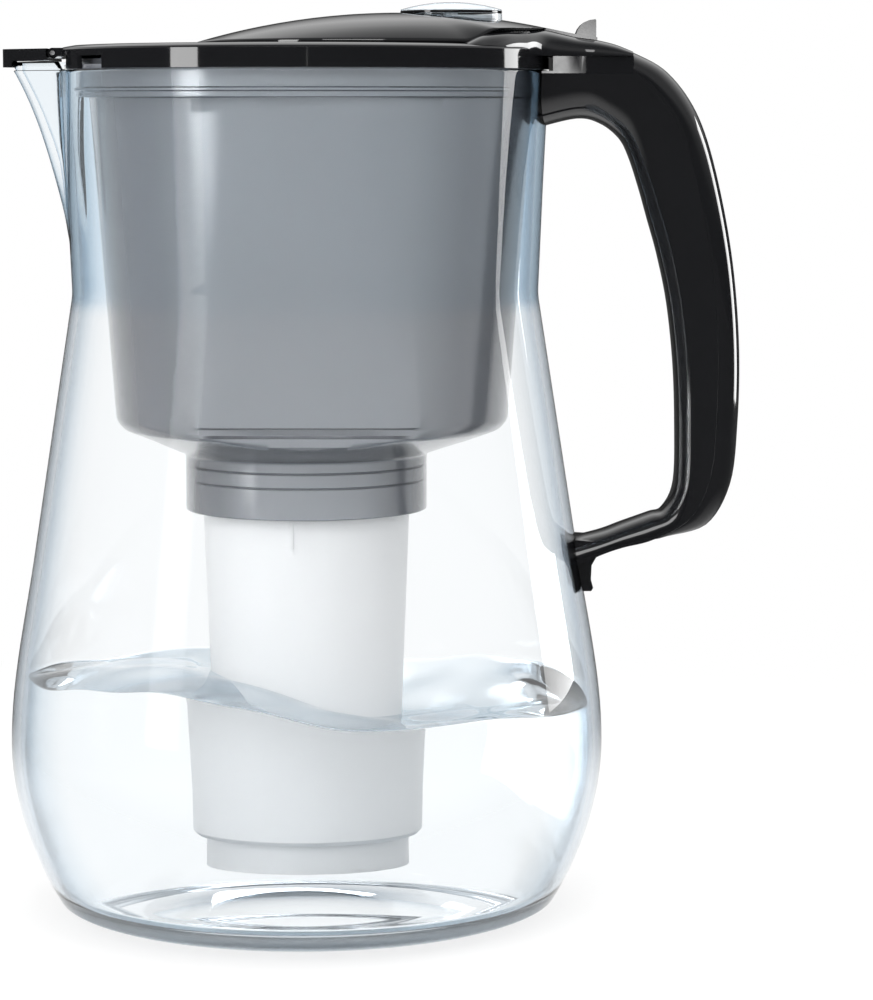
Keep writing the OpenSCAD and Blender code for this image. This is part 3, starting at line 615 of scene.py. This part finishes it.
def surfaceAt(x, y):
    # a slow slop of the surface, higher at the spout's side
    height, alongX, alongY = water["tilt"]
    return (height + alongX * x + alongY * y
            + sum(size * math.sin(a * x + b * y + c) for size, a, b, c in water["swells"])
            + water["ripple"] * math.sin(0.13 * y + 0.05 * x + 1)
            + water["ripple"] * math.sin(0.17 * x - 0.11 * y))


inset, waterLow = jug["wall"] + water["gap"], jug["base"] + water["gap"]
under = [(r, z) for r, z in wallLine(inset, waterLow, water["low"] + 4) if z < water["low"]]
rings = [water["outer"] - i for i in range(4)]
rings += [water["inner"] * (1 - i / water["rings"]) ** 0.9 for i in range(1, water["rings"])] + [0]
waterProfile = [(0, waterLow)] + under + [(r, water["flatZ"]) for r in rings]
bm = spinProfile(waterProfile, water["steps"], closed=False)
for vert in bm.verts:
    x, y, z = vert.co / mm
    if z > water["flatZ"] - 10:
        # the outer rings climb the wall a little, as a wetting edge does
        step = math.hypot(x, y)
        turn = math.atan2(y, x)
        edgeR = wallRadius(surfaceAt(water["edge"] * math.cos(turn), water["edge"] * math.sin(turn)), inset)
        radius, rise = (edgeR - wetting[-1][1]) * step / water["inner"], 0
        for least, back, lift in reversed(wetting):
            if step > least:
                radius, rise = edgeR - back, lift
        x, y = radius * math.cos(turn), radius * math.sin(turn)
        level = surfaceAt(x, y) + rise - (water["dip"] if step > wetting[0][0] else 0)
        vert.co = Vector((x, y, level)) * mm
faceOut(bm)
waterPiece = addPiece("water", bm, clearWater, "jug", "clear_plastic")
softenEdges(waterPiece, 60, flat=0)
print("water made")


# ---- funnel
fun = {
    "shift": 1.9, "wall": 1.9, "socketR": 36.6, "socketZ": 123.7, "grooves": (133.1, 137.5),
    "grooveHalf": 0.4, "pocketR": 35.1, "shelfR": 32.0, "shelfZ": 127.9, "footZ": 139.4, "floorR": 59.3,
    "floorZ": 150, "topR": 66.5, "collarR": 68.5, "collarZ": 248, "collarTop": 259.3, "ledgeR": 71.9,
    "ledgeZ": 256.1, "ledgeT": 1.5, "flatLow": 51, "flatHigh": 66, "steps": 224, "longest": 4.5}


def smoothLine(a, b, steps):
    return [(a[0] + (b[0] - a[0]) * i / steps, a[1] + (b[1] - a[1]) * i / steps) for i in range(steps)]


def rounded(corner, before, after, reach, steps=4):
    # a corner of a profile cut round, as a quadratic curve
    def towards(point):
        gap = math.hypot(point[0] - corner[0], point[1] - corner[1])
        share = min(0.5, reach / gap)
        return (corner[0] + (point[0] - corner[0]) * share, corner[1] + (point[1] - corner[1]) * share)
    a, b = towards(before), towards(after)
    return [tuple((1 - t) ** 2 * p + 2 * t * (1 - t) * c + t * t * q for p, c, q in zip(a, corner, b))
            for t in (i / steps for i in range(steps + 1))]


def roundedLoop(corners):
    # corners are (radius, height, rounding); a rounding of 0 keeps the corner sharp
    line = []
    count = len(corners)
    for i, (r, z, reach) in enumerate(corners):
        if reach:
            line += rounded((r, z), corners[i - 1][:2], corners[(i + 1) % count][:2], reach)
        else:
            line.append((r, z))
    return line


def splitLong(line, most):
    # long straight runs get steps of their own, for a shape that is bent afterwards
    out = []
    for i, a in enumerate(line):
        b = line[(i + 1) % len(line)]
        steps = max(1, math.ceil(math.hypot(b[0] - a[0], b[1] - a[1]) / most))
        out += smoothLine(a, b, steps)
    return out


slopeIn = fun["wall"] * 1.02
grooveHalf = fun["grooveHalf"]
groovePoints = [(fun["socketR"] - deep, z + rise, 0) for z in fun["grooves"]
                for rise, deep in ((-grooveHalf, 0), (0, grooveHalf), (grooveHalf, 0))]
funnelProfile = splitLong(roundedLoop([
    (fun["socketR"], fun["socketZ"], 0.6), *groovePoints, (fun["socketR"], fun["footZ"] + 1.4, 1.2),
    (fun["floorR"] - 2.2, fun["floorZ"] - 1.4, 1.0), (fun["floorR"], fun["floorZ"] + 1.2, 1.4),
    (fun["topR"], fun["collarZ"], 0.3), (fun["collarR"], fun["collarZ"], 0.4),
    (fun["collarR"], fun["collarZ"] + 1.6, 0), (fun["collarR"] + 0.7, fun["collarZ"] + 2, 0),
    (fun["collarR"] + 0.7, fun["collarZ"] + 2.6, 0), (fun["collarR"], fun["collarZ"] + 3, 0),
    (fun["collarR"], fun["ledgeZ"], 0), (fun["ledgeR"], fun["ledgeZ"], 0.3),
    (fun["ledgeR"], fun["ledgeZ"] + fun["ledgeT"], 0.3), (fun["collarR"], fun["ledgeZ"] + fun["ledgeT"], 0),
    (fun["collarR"], fun["collarTop"], 0.4), (fun["collarR"] - fun["wall"], fun["collarTop"], 0.4),
    (fun["collarR"] - fun["wall"], fun["collarZ"] + 1.9, 0.6),
    (fun["topR"] - fun["wall"], fun["collarZ"] + 1.5, 0.4),
    (fun["floorR"] - fun["wall"], fun["floorZ"] + fun["wall"] + 1.8, 1.6),
    (fun["floorR"] - 3.6, fun["floorZ"] + fun["wall"] - 1.2, 1.2),
    (fun["pocketR"], fun["footZ"] + slopeIn + 1.2, 0.8), (fun["pocketR"], fun["shelfZ"], 0.3),
    (fun["shelfR"], fun["shelfZ"], 0.3), (fun["shelfR"], fun["socketZ"], 0.3)]), fun["longest"])
bm = spinProfile(funnelProfile, fun["steps"])
for vert in bm.verts:
    x, y, z = vert.co / mm
    radius = math.hypot(x, y)
    if fun["footZ"] + 0.6 < z < fun["collarZ"] + 1.7 and radius < fun["collarR"] - 0.3:
        share = ease(radius, fun["socketR"] + 1, fun["floorR"] - 6)
        share *= 1 - ease(z, fun["collarZ"] - 0.4, fun["collarZ"] + 0.6)
        atZ = min(max(z, fun["floorZ"] - 10), fun["collarZ"])
        lean = (atZ - fun["floorZ"]) / (fun["collarZ"] - fun["floorZ"])
        outer = fun["floorR"] + (fun["topR"] - fun["floorR"]) * max(0, lean)
        inside = fun["wall"] if (radius < outer - fun["wall"] / 2 and z > fun["floorZ"]) or (
            z <= fun["floorZ"] + 2 and z > fun["footZ"] + 1.4 + (radius - fun["socketR"]) * 0.37 + 1) else 0
        flat = fun["flatLow"] + (fun["flatHigh"] - fun["flatLow"]) * lean - inside
        if share > 0:
            y = math.copysign(-softMax(-abs(y), -flat, 2.5), y)
        vert.co = Vector((x + fun["shift"] * share, y, z)) * mm
faceOut(bm)
funnelPiece = addPiece("funnel_shell", bm, smokePlastic, "funnel", "smoke_plastic", "funnel")
softenEdges(funnelPiece, 38, flat=0)
print("funnel made")


# ---- cartridge
cartridgeBevels = {"cartridge_cup": 0.35, "cartridge_cap": 0.3, "cartridge_base": 0.2}
for nodeName, width in cartridgeBevels.items():
    dressNode(nodeName, whitePlastic, "cartridge", "white_plastic", width)
refinish({"cartridge_mesh": meshFabric, "cartridge_seal": sealRubber, "cartridge_media": filterMedia,
          "cartridge_felts": feltPad})
print("cartridge made")


# ---- handle: two moulded shells that meet in a seam
handle = {
    "span": 6, "ring": 26, "innerPower": 3.4, "backPower": 2.7, "seamBevel": 0.28,
    "inner": [(69, 238.6), (81.8, 241.6), (89, 240), (94.6, 235.6), (97.6, 229.8), (100.6, 220.6),
              (103.2, 211.4), (106.3, 200.4), (109.3, 186), (111.3, 168), (112, 150), (111.7, 131.5),
              (108.2, 123.6), (104.4, 122.2), (96.1, 119.2), (89.4, 116.7), (80, 114.4)],
    "seam": [(69, 260), (81, 260), (88, 259.6), (98, 256), (103.8, 250), (110.6, 241.5), (115.2, 230.3),
             (119.3, 213.5), (122.5, 193.5), (124, 171.5), (123.6, 150.3), (122, 134.5), (116.5, 122.3),
             (105.4, 115.5), (95.8, 112.9), (89.2, 110.6), (80, 106.4)],
    "half": [20, 20, 19.6, 17, 15, 13.6, 13, 13, 13, 13, 13, 13, 12.5, 12.5, 12.5, 12.5, 12.5],
    "back": [(98, 261.6), (107.7, 256.4), (115.6, 247.2), (121.1, 235), (126.1, 215.2), (129.5, 194.6),
             (131.2, 172), (130.9, 150), (128.8, 131.4), (121.6, 119), (108.8, 115.9)],
    "coverSpan": (3, 13),
    "foot": [(80, 115), (89, 114.5), (88, 110), (86.5, 107.4), (86.3, 103), (87, 100.5), (86.4, 99.5),
             (80, 99.5)],
    "footHalf": 11, "pocket": ((74.5, -13.5, 254.4), (95.6, 13.5, 262)),
    "rimRoom": ((60, -40, 255.7), (74, 40, 270)), "gap": 0.1, "seat": 260, "seamEnd": 256}
innerCurve = alongCurve(handle["inner"], handle["span"])
seamCurve = alongCurve(handle["seam"], handle["span"])
halfCurve = [v.x for v in alongCurve(handle["half"], handle["span"])]
first, last = (k * handle["span"] for k in handle["coverSpan"])
backCurve = alongCurve(handle["back"], handle["span"])


def shellRing(root, crest, half, exponent):
    # straight across at the seam, rounded on the far side
    ring = []
    for k in range(handle["ring"] + 1):
        turn = math.pi * (k / handle["ring"] - 0.5)
        middle = root + (crest - root) * power(math.cos(turn), exponent)
        ring.append((middle.x, half * power(math.sin(turn), exponent), middle.y))
    return ring


def jugCutter(grow, low=-5, top=262):
    line = [(0, low)] + [(r + grow, z) for r, z in wallLine(0, 0, jug["rimZ"])]
    line += [(jug["rimR"] + grow, jug["rimZ"]), (jug["rimR"] + grow, top), (0, top)]
    return spinProfile(line, 160, closed=False)


def pushOut(corners, way):
    # a prism from one face, in millimetres
    bm = bmesh.new()
    face = bm.faces.new([bm.verts.new(Vector(spot) * mm) for spot in corners])
    pushed = bmesh.ops.extrude_face_region(bm, geom=[face])["geom"]
    bmesh.ops.translate(bm, vec=[part * mm for part in way],
                        verts=[v for v in pushed if isinstance(v, bmesh.types.BMVert)])
    faceOut(bm)
    return bm


frameRings = [shellRing(s, c, h, handle["innerPower"]) for s, c, h in zip(seamCurve, innerCurve, halfCurve)]
bm = loftRings(frameRings)
framePiece = addPiece("handle_inner_shell", bm, glossBlack, "jug", "black_plastic", "handle_frame")
footWide = (0, 2 * handle["footHalf"], 0)
cutWith(framePiece, pushOut([(x, -handle["footHalf"], z) for x, z in handle["foot"]], footWide), "UNION")
edge = [(s.x, h) for s, h in zip(seamCurve[:first + 1], halfCurve)]
topLow = handle["seamEnd"] - 1
topFace = [(x, side * h, topLow) for side, line in ((1, edge), (-1, edge[::-1])) for x, h in line]
cutWith(framePiece, pushOut(topFace, (0, 0, handle["seat"] - topLow)), "UNION")
cutWith(framePiece, jugCutter(handle["gap"]))
for box in (handle["rimRoom"], handle["pocket"]):
    cutWith(framePiece, boxCutter(*box))
softenEdges(framePiece, 34)
roundEdges(framePiece, handle["seamBevel"], 3, 34)

coverRings = [shellRing(s, c, h, handle["backPower"])
              for s, c, h in zip(seamCurve[first:last + 1], backCurve, halfCurve[first:last + 1])]
bm = loftRings(coverRings)
backPiece = addPiece("handle_back_shell", bm, glossBlack, "jug", "black_plastic", "handle_back_cover")
softenEdges(backPiece, 34)
roundEdges(backPiece, handle["seamBevel"], 3, 34)
print("handle made")


# ---- flip lid with its thumb lever
dome = {"x": 20.25, "z": 266.4, "tilt": 2.28, "r": 52.75, "crown": 214, "drop": 5.6, "plug": 8, "wall": 2.2,
        "steps": 192, "swing": 0.4, "border": 263.4}
domePlace = (Matrix.Translation((dome["x"] * mm, 0, dome["z"] * mm))
             @ Matrix.Rotation(math.radians(-dome["tilt"]), 4, "Y"))
crownZ = -math.sqrt(dome["crown"] ** 2 - dome["r"] ** 2)
throat = dome["r"] - dome["drop"]


def crownAt(radius):
    return crownZ + math.sqrt(dome["crown"] ** 2 - radius ** 2)


def domeCutter(grow, low=-20, high=20):
    bm = spinProfile([(0, low), (throat + grow, low), (throat + grow, -dome["drop"]), (dome["r"] + grow, 0),
                      (dome["r"] + grow, high), (0, high)], 192, closed=False)
    bm.transform(domePlace)
    return bm


def edgeAt(turn):
    # height of the lid's edge, which lies on the border and rises to the rear cap
    x = dome["r"] * math.cos(turn)
    plane = dome["z"] + x * math.sin(math.radians(dome["tilt"]))
    rise = ease(dome["x"] + x, 48, 59)
    return (1 - rise) * (dome["border"] + 0.25 - plane) - 0.15 * rise


def domeSurface(radius, turn):
    crest = dome["r"] - 0.3
    return crownAt(radius) + min(0, edgeAt(turn) + 1) * (max(0, radius - 30) / (crest - 30)) ** 3.2


domeSteps = (0, 0.5, 1.2, 2.2, 3.5, 5, 7, 9, 12, 15, 19, 24, 29, 34, 39, 44, 49)
domeRadii = [dome["r"] - 0.3 - step for step in domeSteps]
hollow = throat - dome["wall"]
# each section: the conical seat, the edge, the outer face, and the hollow below
domeRings = []
for k in range(dome["steps"]):
    turn = -2 * math.pi * k / dome["steps"]
    edge, crest = edgeAt(turn), domeSurface(dome["r"] - 0.3, turn)
    line = [(throat, -dome["plug"]), (throat, -dome["drop"]), (dome["r"] + edge - 0.1, edge),
            (dome["r"] - 0.12, edge), (dome["r"], edge + 0.1), (dome["r"], edge + 0.6 * (crest - edge)),
            (dome["r"] - 0.08, edge + 0.85 * (crest - edge))]
    line += [(r, domeSurface(r, turn)) for r in domeRadii]
    line += [(0.9, domeSurface(0, turn)), (0.9, domeSurface(0, turn) - dome["wall"])]
    line += [(hollow * i / 9, domeSurface(hollow * i / 9, turn) - dome["wall"]) for i in range(1, 10)]
    line += [(hollow, -dome["plug"])]
    domeRings.append([(r * math.cos(turn), r * math.sin(turn), z) for r, z in line])
bm = ringedLoft(domeRings)
bm.transform(domePlace)
faceOut(bm)
domePiece = addPiece("lid_dome", bm, glossBlack, "flip_lid", "black_plastic", "flip_dome")
dial = {"x": 44, "low": 264.5, "r": 15.25, "inner": 1.3, "skirtTop": 272.85, "ringLow": 272.95,
        "ringTop": 273.75, "lensTop": 276.3, "lensWall": 1.2, "stemR": 2}
dialPlace = Matrix.Translation((dial["x"] * mm, 0, 0))
cutWith(domePiece, barCutter(dial["r"] + 0.25, 60, Matrix.Translation((dial["x"] * mm, 0, 0.28)), 128))
softenEdges(domePiece, 40, flat=0)

dressNode("flip_liner", glossBlack, "flip_lid", "black_plastic", 0.3)
dressNode("thumb_lever", glossBlack, "flip_lid", "black_plastic", 0.3)
housingPiece = dressNode("indicator_housing", clearSkirt, "flip_lid", "clear_plastic", 0)
cutWith(housingPiece, boxCutter((20, -20, dial["skirtTop"]), (70, 20, 280)))
softenEdges(housingPiece, 32)
dressNode("indicator_scale", dialWhite, "flip_lid", "white_plastic", 0.1)
holeR = dial["r"] - dial["inner"]
ringLoop = [(holeR, dial["ringLow"], 0.15), (dial["r"], dial["ringLow"], 0.2),
            (dial["r"], dial["ringTop"], 0.2), (holeR, dial["ringTop"], 0.15)]
bm = spinProfile(roundedLoop(ringLoop), 128)
bm.transform(dialPlace)
bezelPiece = addPiece("dial_ring", bm, glossBlack, "indicator", "black_plastic", "indicator_bezel")
softenEdges(bezelPiece, 40, flat=0)


def lensArc(radius, top, rise, steps=14):
    # a shallow arc from the rim to the axis
    sphere = (radius * radius + rise * rise) / (2 * rise)
    spots = [radius * (1 - i / steps) for i in range(steps + 1)]
    return [(r, top - sphere + math.sqrt(sphere * sphere - r * r)) for r in spots]


rise = dial["lensTop"] - dial["ringTop"] - 0.35
outerArc = lensArc(dial["r"] - 0.1, dial["lensTop"], rise)
innerArc = [(r, z) for r, z in lensArc(holeR, dial["lensTop"] - dial["lensWall"], rise - 0.55)
            if r > dial["stemR"] + 0.6]
stem = [(dial["stemR"], innerArc[-1][1] - 0.6), (dial["stemR"], dial["low"] - 1.2), (0, dial["low"] - 1.2)]
seat = [(dial["r"] - 0.1, dial["ringTop"] + 0.02), (holeR, dial["ringTop"] + 0.02)]
bm = spinProfile(outerArc[::-1] + seat + innerArc + stem, 128, closed=False)
bm.transform(dialPlace)
lensPiece = addPiece("dial_lens", bm, clearLens, "indicator", "clear_plastic", "indicator_lens")
softenEdges(lensPiece, 40, flat=0)
print("flip lid made")


# ---- cover: rim band with its border, and the rear cap over the handle's block
dressNode("lid_frame", glossBlack, "cover", "black_plastic", 0.3)

# the skirt goes on behind, in front of the handle's block
skirt = {"r": (72.1, 73.4), "z": (256.3, 260.95), "half": 16.3, "steps": 12}
skirtRings = []
for k in range(skirt["steps"] + 1):
    turn = math.radians(skirt["half"] * (2 * k / skirt["steps"] - 1))
    skirtRings.append([(r * math.cos(turn), r * math.sin(turn), z) for r, z in zip(
        skirt["r"] + skirt["r"][::-1], (skirt["z"][0],) * 2 + (skirt["z"][1],) * 2)])
skirtPiece = addPiece("lid_skirt_back", loftRings(skirtRings), glossBlack, "cover", "black_plastic")
softenEdges(skirtPiece, 34)

hump = {
    "top": [(46, 263.2), (50, 265.8), (54, 267.6), (60, 268.3), (66, 268.3), (72, 267.9), (81, 265.9),
            (87.3, 265), (93, 263.6), (97.85, 261.65)],
    "half": [57, 53, 48.5, 42, 32, 22.5, 20.4, 20.1, 19.4, 17.4], "span": 8, "ring": 44, "power": 3.4,
    "wall": 1.8, "gap": 0.1, "slotHalf": 7.9, "slotEnd": 93}
# edge of the lid's border, which the rear cap sits on
borderEdge = [(73.45, 256), (73.45, 261.95), (73.1, 262.45), (72.25, 262.8), (69.4, 263.3), (66.4, 263.45),
              (0, 263.45)]


def humpRings(inset):
    rings = []
    tops = alongCurve(hump["top"], hump["span"])
    halves = [v.x for v in alongCurve(hump["half"], hump["span"])]
    start, end = hump["top"][0][0], hump["top"][-1][0]
    for top, half in zip(tops, halves):
        low = handle["seat"] + hump["gap"] - (3 if inset else 0)
        ring = []
        for k in range(hump["ring"] + 1):
            turn = math.pi * (k / hump["ring"] - 0.5)
            ring.append((top.x - inset * (top.x - start) / (end - start),
                         (half - inset) * power(math.sin(turn), hump["power"]),
                         low + (top.y - low - inset) * power(math.cos(turn), hump["power"])))
        rings.append(ring)
    return rings


bm = loftRings(humpRings(0))
capPiece = addPiece("rear_cap_shell", bm, glossBlack, "cover", "black_plastic", "rear_cap")
cutWith(capPiece, loftRings(humpRings(hump["wall"])))
cutWith(capPiece, domeCutter(dome["swing"]))
cutWith(capPiece, spinProfile([(0, 256)] + borderEdge, 192, closed=False))
edgeCutter = barCutter(dome["r"] + dome["swing"], 40, domePlace, 192)
bmesh.ops.bisect_plane(edgeCutter, geom=edgeCutter.verts[:] + edgeCutter.edges[:] + edgeCutter.faces[:],
                       plane_co=(60 * mm, 0, 0), plane_no=(1, 0, 0), clear_outer=True)
bmesh.ops.holes_fill(edgeCutter, edges=edgeCutter.edges[:])
cutWith(capPiece, edgeCutter)
cutWith(capPiece, boxCutter((50, -hump["slotHalf"], 250), (hump["slotEnd"], hump["slotHalf"], 280)))
softenEdges(capPiece, 34)
roundEdges(capPiece, 0.25, 3, 34)

dressNode("spout_flap", glossBlack, "spout_flap", "black_plastic", 0.35)
refinish({"handle_screw": clipSteel, "hinge_pin": pinSteel, "flap_pin": pinSteel,
          "indicator_clip": clipSteel})
print("cover made")


# ---- floor, world and lamps
world = bpy.data.worlds.new("studio")
bpy.context.scene.world = world
world.use_nodes = True
tree = Shades(world.node_tree)
cameraRay = tree.node("LightPath", out=0)
glossyRay = tree.node("LightPath", out=3)
bounceRay = tree.node("LightPath", out=5)
passRay = tree.node("LightPath", out=6)
looking = tree.node("TexCoord", out=0)
height = tree.node("SeparateXYZ", {}, {"Vector": looking}, out=2)
depth = tree.node("SeparateXYZ", {}, {"Vector": looking}, out=1)
# the studio's walls are dark near the floor, overhead and in front, and show only in gloss
inBack = tree.fade(depth, (-0.1, 0.4), (0.5, 1.0), "LINEAR")
wallStops = ((0, 0.035), (0.12, 0.06), (0.3, 0.85), (0.5, 0.85), (0.75, 0.5), (1, 0.2))
walls = tree.node("ValToRGB", {"stops": [(at, (grey,) * 3) for at, grey in wallStops]}, {"Fac": height})
mirror = glossyRay * bounceRay
plain = cameraRay.over(passRay)
strength = plain.over(mirror * walls * inBack) + (1 - plain.over(mirror)) * 0.9
back = tree.node("Background", {}, {"Color": (1, 1, 1, 1), "Strength": strength})
tree.node("OutputWorld", {}, {"Surface": back})

floorMesh = bmesh.new()
bmesh.ops.create_grid(floorMesh, x_segments=1, y_segments=1, size=20.0)
mesh = bpy.data.meshes.new("studio_floor")
floorMesh.to_mesh(mesh)
floorMesh.free()
floorPiece = bpy.data.objects.new("studio_floor", mesh)
bpy.context.scene.collection.objects.link(floorPiece)
paleFloor, tree = newFinish("paleFloor")
cameraRay = tree.node("LightPath", out=0)
glossyRay = tree.node("LightPath", out=3)
passRay = tree.node("LightPath", out=6)
seen = cameraRay.over(glossyRay).over(passRay)
matt = tree.node("BsdfDiffuse", {}, {"Color": (0.9, 0.9, 0.9, 1)})
glow = tree.node("Emission", {}, {"Color": (1, 1, 1, 1), "Strength": 1.0})
away = tree.node("VectorMath", {"operation": "LENGTH"}, {0: tree.spot()}, out=1)
far = tree.fade(away, (0.12, 0.5), (0.8, 1.0))
# in gloss the floor fades into the dark of the room
dim = tree.fade(away, (0.14, 0.45), (1.0, 0.05))
mirror = glossyRay * tree.node("LightPath", out=5)
dark = tree.node("BsdfDiffuse", {}, {"Color": (0.02, 0.02, 0.02, 1)})
bright = tree.node("MixShader", {}, {0: seen * far, 1: matt, 2: glow})
finishWith(tree, tree.node("MixShader", {}, {0: mirror * (1 - dim), 1: bright, 2: dark}))
mesh.materials.append(paleFloor)


def addLamp(name, at, aim, size, watts, spread=180):
    lamp = bpy.data.lights.new(name, "AREA")
    lamp.shape = "RECTANGLE"
    lamp.size, lamp.size_y = size
    lamp.energy = watts
    lamp.spread = math.radians(spread)
    holder = bpy.data.objects.new(name, lamp)
    bpy.context.scene.collection.objects.link(holder)
    holder.location = at
    holder.rotation_euler = (Vector(at) - Vector(aim)).to_track_quat("Z", "Y").to_euler()
    holder.visible_camera = False
    return holder


target = (0.02, 0, 0.2)
addLamp("leftWindow", (-1.26, -0.92, 0.36), target, (0.38, 0.75), 8)
addLamp("rightWindow", (1.36, 0.72, 0.34), target, (0.62, 0.7), 11).visible_transmission = False
addLamp("blockCard", (0.161, -2.118, 0.283), (0.08, -0.02, 0.258), (0.1, 0.1), 8e-5, 2.2)
addLamp("frontFill", (-0.3, -1.55, 1.0), target, (1.2, 0.7), 14.5)
addLamp("topSoftbox", (0.1, -0.2, 1.5), target, (1.0, 0.9), 18).visible_glossy = False
print("studio made")
